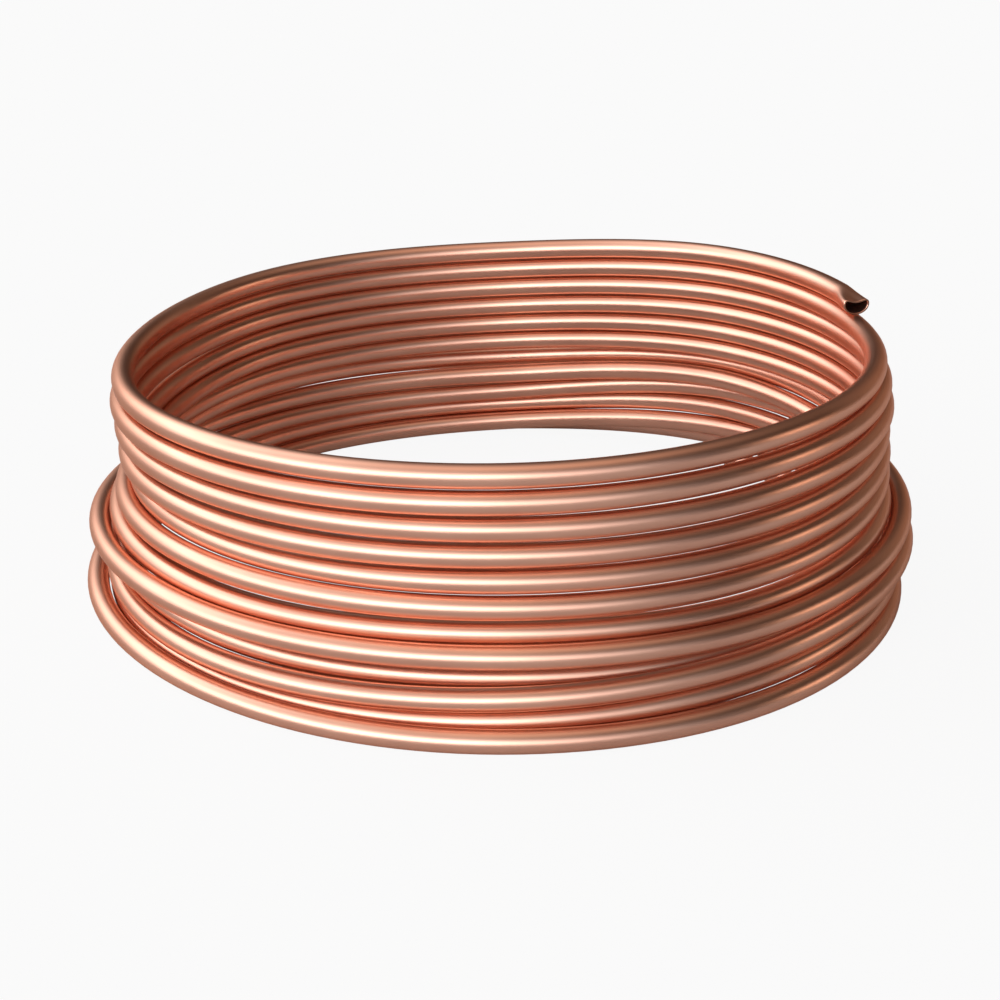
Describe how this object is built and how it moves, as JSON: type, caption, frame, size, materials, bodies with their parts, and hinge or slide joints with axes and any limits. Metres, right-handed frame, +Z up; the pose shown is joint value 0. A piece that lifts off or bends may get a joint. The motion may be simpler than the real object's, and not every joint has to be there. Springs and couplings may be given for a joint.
{
  "type": "copper tube coil",
  "caption": "Loose round coil of soft copper tube in uneven turns, standing flat with an open eye and a dented open end on top, for cutting to length.",
  "frame": {"origin": "on the floor under the middle of the winding", "axes": "+Z up along the coil's axis, +X to the right and +Y to the back as the coil is seen with its open end at the top right"},
  "size_m": [0.4937, 0.4879, 0.159],
  "materials": {
    "copper": "satin, drawn"
  },
  "bodies": {
    "root": {"copper_tube": "copper"}
  },
  "joints": []
}
